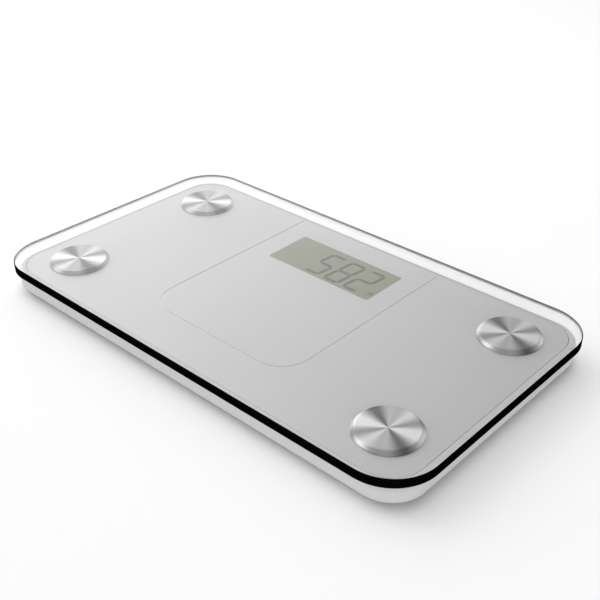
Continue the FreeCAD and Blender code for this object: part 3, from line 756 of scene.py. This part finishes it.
def mark_sharp(piece: bpy.types.Object, angle: float) -> None:
    """Mark the edges of a piece that turn by more than an angle in degrees as sharp."""
    mesh = bmesh.new()
    mesh.from_mesh(piece.data)
    for edge in mesh.edges:
        if len(edge.link_faces) == 2 and edge.calc_face_angle() > math.radians(angle):
            edge.smooth = False
    mesh.to_mesh(piece.data)
    mesh.free()


@dataclass
class TurnedDisc:
    """One spun metal disc between the deck and the glass."""

    corner: Corner
    steps: int = 128
    rim_share: float = 0.4
    top_shrink: float = 1.5 * MM
    bevel: float = 0.1 * MM
    crest: float = 0.0072 * MM
    ring_pitch: float = 0.9 * MM
    rim_bands: int = 3

    def profile(self, radius: float, height: float) -> list[tuple[float, float]]:
        """Work out the disc's outline from its rim to its centre.

        Args:
            radius: The radius at the foot.
            height: The height of the disc.

        Returns:
            Pairs of radius and height.
        """
        rim = height * self.rim_share
        top = radius - self.top_shrink
        bevel = self.bevel
        points = [(radius, 0.0), (radius, rim - bevel), (radius - bevel, rim)]
        points += [(top + 1.5 * bevel, height - bevel), (top - bevel, height)]
        count = int((top - 4 * bevel) / self.ring_pitch)
        for n in range(1, count):
            dip = self.crest if n % 2 else 0.0
            points.append(((top - bevel) * (1 - n / count), height - dip))
        return points

    def build(self, finishes: FinishCupboard) -> bpy.types.Object:
        """Make the disc about its own centre.

        Args:
            finishes: The materials.

        Returns:
            The disc.
        """
        node = "standoff_disc_" + self.corner.label
        low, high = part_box(node)
        centre = middle_of(node)
        mesh = bmesh.new()
        loops = []
        for radius, height in self.profile(high.x - centre.x, high.z - low.z):
            ring = []
            for n in range(self.steps):
                angle = 2 * math.pi * n / self.steps
                ring.append(mesh.verts.new((radius * math.cos(angle), radius * math.sin(angle), height)))
            loops.append(ring)
        mesh.faces.new(list(reversed(loops[0])))
        for band, (outer, inner) in enumerate(zip(loops, loops[1:])):
            for n in range(self.steps):
                after = (n + 1) % self.steps
                face = mesh.faces.new((outer[n], outer[after], inner[after], inner[n]))
                face.smooth = True
                face.material_index = 1 if band < self.rim_bands else 0
        mesh.faces.new(loops[-1]).smooth = True
        bmesh.ops.recalc_face_normals(mesh, faces=mesh.faces)
        disc = linked("turned_disc_" + self.corner.label, mesh)
        mark_sharp(disc, SHARP_DISC)
        disc.location = (centre.x, centre.y, low.z)
        # Discs on the left take the other lit copy of the metal, as painted light.
        finishes.dress(disc, "turned_metal_left" if centre.x < 0 else "turned_metal_right")
        # The rim bands take the metal painted dark, as shade on the bevel.
        disc.data.materials.append(finishes.materials["turned_rim"])
        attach(disc, "base")
        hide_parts(node)
        return disc


@dataclass
class Display:
    """The liquid crystal display, flush in the deck."""

    stroke: float = 2.5 * MM
    digit_width: float = 10.7 * MM
    digit_height: float = 26.0 * MM
    digit_pitch: float = 16.05 * MM
    first_x: float = -12.0 * MM
    base_y: float = 35.8 * MM
    slant: float = 0.096
    gap: float = 0.4 * MM
    film: float = 0.05 * MM
    soft_edge: float = 0.15 * MM
    corner: float = 1.0 * MM
    steps: int = 10

    def build(self, finishes: FinishCupboard) -> list[bpy.types.Object]:
        """Make the window, the digits and the unit mark.

        Args:
            finishes: The materials.

        Returns:
            The pieces.
        """
        return [self.window(finishes), self.digits(finishes)]

    def window(self, finishes: FinishCupboard) -> bpy.types.Object:
        """Make the window plate with softly rounded edges.

        Args:
            finishes: The materials.

        Returns:
            The window.
        """
        low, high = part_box("display_window")
        half = (high - low) / 2
        centre = (low + high) / 2
        rings = []
        top = high.z - self.film
        levels = ((low.z, 0.0), (top - self.soft_edge, 0.0), (top, self.soft_edge))
        for level, inset in levels:
            outline = rounded_outline(half.x - inset, half.y - inset, self.corner - inset, self.steps)
            rings.append([(centre.x + x, centre.y + y, level) for x, y in outline])
        window = lofted("display_face", rings)
        mark_sharp(window, SHARP_PLATE)
        finishes.dress(window, "reflective_film")
        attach(window, "base")
        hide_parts("display_window", "display_front_glass")
        return window

    def stroke_outline(self, segment: Segment) -> list[tuple[float, float]]:
        """Work out one stroke's pointed outline in the digit's own space.

        Args:
            segment: The stroke.

        Returns:
            The outline's six points.
        """
        (x0, y0), (x1, y1) = segment.value
        start = Vector((x0 * self.digit_width, y0 * self.digit_height))
        end = Vector((x1 * self.digit_width, y1 * self.digit_height))
        along = (end - start).normalized()
        across = Vector((-along.y, along.x)) * self.stroke / 2
        tip = along * self.gap / 2
        shoulder = along * (self.gap / 2 + self.stroke / 2)
        outline = [start + tip, start + shoulder - across, end - shoulder - across]
        outline += [end - tip, end - shoulder + across, start + shoulder + across]
        return [(point.x, point.y) for point in outline]

    def digits(self, finishes: FinishCupboard) -> bpy.types.Object:
        """Make the strokes of the digits and the unit mark as one thin printed layer.

        Args:
            finishes: The materials.

        Returns:
            The layer.
        """
        low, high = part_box("display_window")
        level = high.z - self.film
        mesh = bmesh.new()
        for place, strokes in enumerate((FIVE, EIGHT, TWO)):
            left = self.first_x + place * self.digit_pitch
            for segment in strokes:
                outline = []
                for x, y in self.stroke_outline(segment):
                    outline.append((left + x + self.slant * y, self.base_y + y))
                self.raise_flake(mesh, outline, level)
        for x, y, width, height in self.marks():
            corners = ((0, 0), (width, 0), (width, height), (0, height))
            self.raise_flake(mesh, [(x + dx, y + dy) for dx, dy in corners], level)
        layer = linked("display_digits", mesh)
        finishes.dress(layer, "dark_segment")
        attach(layer, "base")
        return layer

    def marks(self) -> Iterable[tuple[float, float, float, float]]:
        """Return the unit mark's bars: left, bottom, width and height."""
        x = self.first_x + 3 * self.digit_pitch + 1.0 * MM
        y = self.base_y + 2.2 * MM
        bar, tall, span = 0.9 * MM, 3.6 * MM, 1.4 * MM
        return [(x, y, bar, tall), (x + bar, y + span, span, bar), (x + bar + span, y, bar, tall)]

    def raise_flake(
        self, mesh: bmesh.types.BMesh, outline: Sequence[tuple[float, float]], level: float
    ) -> None:
        """Add one thin closed flake.

        Args:
            mesh: The mesh that it joins.
            outline: Its outline, anticlockwise.
            level: The height of its underside.
        """
        under = [mesh.verts.new((x, y, level - self.film)) for x, y in outline]
        over = [mesh.verts.new((x, y, level + 0.4 * self.film)) for x, y in outline]
        mesh.faces.new(list(reversed(under)))
        mesh.faces.new(over)
        for n in range(len(outline)):
            after = (n + 1) % len(outline)
            mesh.faces.new((under[n], under[after], over[after], over[n]))


@dataclass
class FrameParts:
    """The parts that keep their shape from the frame and take only a finish."""

    def build(self, finishes: FinishCupboard) -> list[str]:
        """Dress each part.

        Args:
            finishes: The materials.

        Returns:
            The names of the dressed parts.
        """
        chosen = dict(NODE_FINISHES)
        for corner in Corner:
            for prefix, finish in CORNER_FINISHES.items():
                chosen[prefix + corner.label] = finish
        for node, finish in chosen.items():
            finishes.dress(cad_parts[node], finish)
        return sorted(chosen)


@dataclass(frozen=True)
class Lamp:
    """One soft square lamp, aimed at the middle of the floor, in metres and watts."""

    name: str
    place: tuple[float, float, float]
    size: float
    power: float

    def hang(self) -> bpy.types.Object:
        """Return the lamp, which mirrors and glass don't show."""
        data = bpy.data.lights.new(self.name, "AREA")
        data.size = self.size
        data.energy = self.power
        lamp = bpy.data.objects.new(self.name, data)
        bpy.context.scene.collection.objects.link(lamp)
        lamp.visible_glossy = False
        lamp.visible_transmission = False
        lamp.location = self.place
        lamp.rotation_euler = Vector(self.place).to_track_quat("Z", "Y").to_euler()
        return lamp


@dataclass
class Studio:
    """The floor, the lamps and the camera."""

    floor_size: float = 6.0
    distance: float = 0.5683
    azimuth: float = 42.38
    elevation: float = 31.89
    target: tuple[float, float, float] = (0.01725, -0.00126, 0.021)
    lens: float = 56.55
    sensor: float = 36.0
    sky_ramp: tuple[float, float, float, float] = (0.2, 0.85, 0.36, 1.68)
    lamps: tuple[Lamp, ...] = (
        Lamp("key", (-0.35, 0.55, 1.5), 1.4, 12.0),
        Lamp("side", (-1.5, -0.2, 1.0), 1.0, 7.0),
        Lamp("fill", (1.45, -0.9, 0.35), 0.8, 10.5),
    )

    def build(self, finishes: FinishCupboard) -> None:
        """Set up the camera, then the floor, the sky and the lamps."""
        self.camera()
        self.floor(finishes)
        self.sky()
        for lamp in self.lamps:
            lamp.hang()

    def camera(self) -> bpy.types.Object:
        """Return the scene's camera, aimed at the scale from its front right."""
        data = bpy.data.cameras.new("camera")
        data.lens = self.lens
        data.sensor_width = self.sensor
        data.clip_start = 0.01
        camera = bpy.data.objects.new("camera", data)
        bpy.context.scene.collection.objects.link(camera)
        turn, lift = math.radians(self.azimuth), math.radians(self.elevation)
        back = Vector((math.sin(turn) * math.cos(lift), -math.cos(turn) * math.cos(lift), math.sin(lift)))
        camera.location = Vector(self.target) + back * self.distance
        camera.rotation_euler = back.to_track_quat("Z", "Y").to_euler()
        bpy.context.scene.camera = camera
        return camera

    def floor(self, finishes: FinishCupboard) -> bpy.types.Object:
        """Return the plain pale floor."""
        mesh = bmesh.new()
        bmesh.ops.create_grid(mesh, x_segments=4, y_segments=4, size=self.floor_size / 2)
        floor = linked("studio_floor", mesh)
        finishes.dress(floor, "studio_floor")
        return floor

    def sky(self) -> None:
        """Light the scene softly from all round, brighter towards the left."""
        world = bpy.data.worlds.new("studio")
        world.use_nodes = True
        nodes, links = world.node_tree.nodes, world.node_tree.links
        background = next(node for node in nodes if node.type == "BACKGROUND")
        background.inputs["Color"].default_value = WHITE
        split = nodes.new("ShaderNodeSeparateXYZ")
        links.new(nodes.new("ShaderNodeTexCoord").outputs["Generated"], split.inputs[0])
        glow = nodes.new("ShaderNodeMapRange")
        glow.interpolation_type = "SMOOTHSTEP"
        links.new(maths(nodes, links, "MULTIPLY", split.outputs["X"], -1.0), glow.inputs["Value"])
        for label, value in zip(("From Min", "From Max", "To Min", "To Max"), self.sky_ramp):
            glow.inputs[label].default_value = value
        seen = nodes.new("ShaderNodeLightPath").outputs["Is Camera Ray"]
        strength = maths(nodes, links, "MAXIMUM", glow.outputs["Result"], seen)
        links.new(strength, background.inputs["Strength"])
        bpy.context.scene.world = world


def set_view_transform() -> None:
    """Keep the picture's tones as lit."""
    settings = bpy.context.scene.view_settings
    settings.view_transform = "Standard"
    settings.look = "None"


def main() -> None:
    """Build the scene in order and report each piece."""
    logging.basicConfig(level=logging.INFO, format="%(name)s: %(message)s")
    finishes = FinishCupboard.stocked()
    set_view_transform()
    Studio().build(finishes)
    LOG.info("studio ready")
    LOG.info("dressed %d frame parts", len(FrameParts().build(finishes)))
    LOG.info("built %s", GlassPlatform().build(finishes).name)
    for corner in Corner:
        LOG.info("built %s", TurnedDisc(corner).build(finishes).name)
    for piece in Display().build(finishes):
        LOG.info("built %s", piece.name)


if __name__ == "__main__":
    main()
